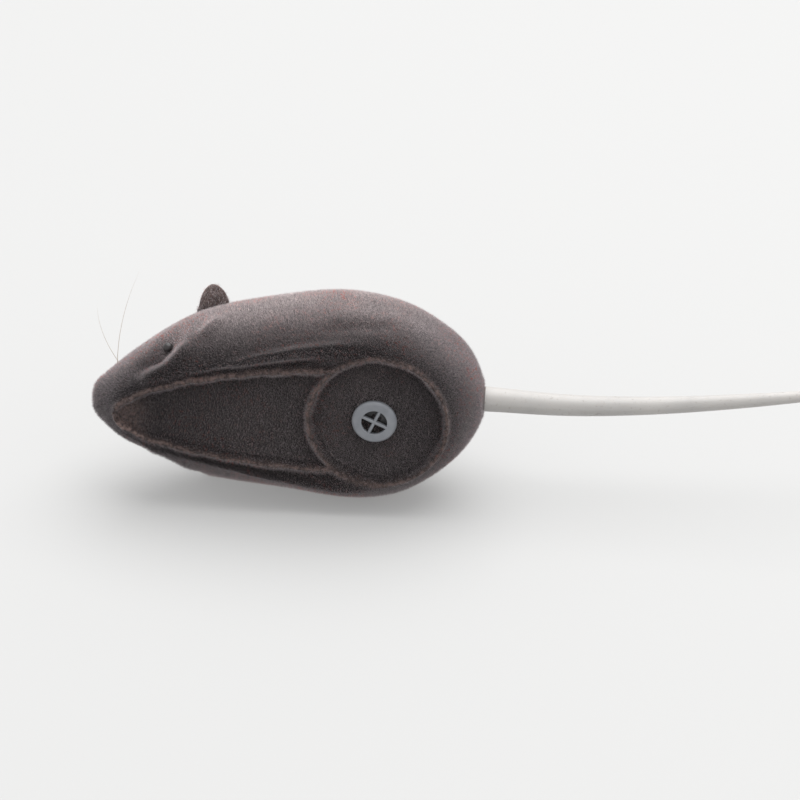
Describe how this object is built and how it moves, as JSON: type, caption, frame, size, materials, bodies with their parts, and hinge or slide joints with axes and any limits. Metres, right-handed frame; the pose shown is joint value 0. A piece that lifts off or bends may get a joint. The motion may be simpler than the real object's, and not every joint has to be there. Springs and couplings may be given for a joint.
{
  "type": "squeaky toy mouse",
  "caption": "Hollow soft vinyl toy mouse covered in dark grey flock, lying on its side, with a belly squeaker, folding ears, fine whiskers and a long bending tail.",
  "frame": {"origin": "centre of the bounding box at its underside, on the plane the toy lies on", "axes": "+X from the nose to the tail tip, +Y from the belly to the back, +Z from the mouse's right side to its left side, upwards"},
  "size_m": [0.1352, 0.0232, 0.0362],
  "materials": {
    "flock": "short dark grey velvet flock over soft vinyl",
    "tail_vinyl": "smooth satin grey soft vinyl",
    "squeaker_plastic": "moulded mid grey plastic, satin",
    "reed_holder_plastic": "moulded dark plastic",
    "reed_film": "thin polyester film",
    "eye_bead": "shiny black bead",
    "whisker_hair": "fine light brown nylon hair"
  },
  "bodies": {
    "body": {"body_shell": "flock", "eye_left": "eye_bead", "eye_right": "eye_bead", "whiskers_left": "whisker_hair", "whiskers_right": "whisker_hair", "squeaker_housing": "squeaker_plastic", "squeaker_reed_seat": "reed_holder_plastic", "squeaker_reed_clamp": "reed_holder_plastic", "tail_plug": "tail_vinyl"},
    "left_ear": {"ear_left": "flock"},
    "right_ear": {"ear_right": "flock"},
    "reed": {"squeaker_reed": "reed_film"},
    "tail_1": {"tail_link_1": "tail_vinyl"},
    "tail_2": {"tail_link_2": "tail_vinyl"},
    "tail_3": {"tail_link_3": "tail_vinyl"},
    "tail_4": {"tail_link_4": "tail_vinyl"},
    "tail_5": {"tail_link_5": "tail_vinyl"}
  },
  "joints": [
    {"name": "reed_flutter", "type": "hinge", "parent": "body", "child": "reed", "pos_m": [-0.0241, -0.0034, 0.01616], "axis": [0.9026, 0, -0.4305], "range_deg": [0, 6], "stiffness_Nm_per_rad": 0.00013},
    {"name": "ear_left_fold", "type": "hinge", "parent": "body", "child": "left_ear", "pos_m": [-0.04987, 0.0037, 0.02713], "axis": [1, 0, 0], "range_deg": [-20, 20], "stiffness_Nm_per_rad": 0.004},
    {"name": "ear_right_fold", "type": "hinge", "parent": "body", "child": "right_ear", "pos_m": [-0.04987, 0.0037, 0.00533], "axis": [-1, 0, 0], "range_deg": [-20, 20], "stiffness_Nm_per_rad": 0.004},
    {"name": "tail_bend_1", "type": "hinge", "parent": "body", "child": "tail_1", "pos_m": [-0.00587, -0.0018, 0.01613], "axis": [0, 0, 1], "range_deg": [-30, 30], "stiffness_Nm_per_rad": 0.0065},
    {"name": "tail_bend_2", "type": "hinge", "parent": "tail_1", "child": "tail_2", "pos_m": [0.00513, -0.0018, 0.01563], "axis": [0, -1, 0], "range_deg": [-8, 30], "stiffness_Nm_per_rad": 0.0045},
    {"name": "tail_bend_3", "type": "hinge", "parent": "tail_2", "child": "tail_3", "pos_m": [0.01713, -0.0018, 0.01603], "axis": [0, 0, 1], "range_deg": [-30, 30], "stiffness_Nm_per_rad": 0.002},
    {"name": "tail_bend_4", "type": "hinge", "parent": "tail_3", "child": "tail_4", "pos_m": [0.03013, -0.0018, 0.01723], "axis": [0, -1, 0], "range_deg": [-15, 30], "stiffness_Nm_per_rad": 0.00087},
    {"name": "tail_bend_5", "type": "hinge", "parent": "tail_4", "child": "tail_5", "pos_m": [0.04413, -0.0018, 0.01903], "axis": [0, 0, 1], "range_deg": [-30, 30], "stiffness_Nm_per_rad": 0.00016}
  ]
}
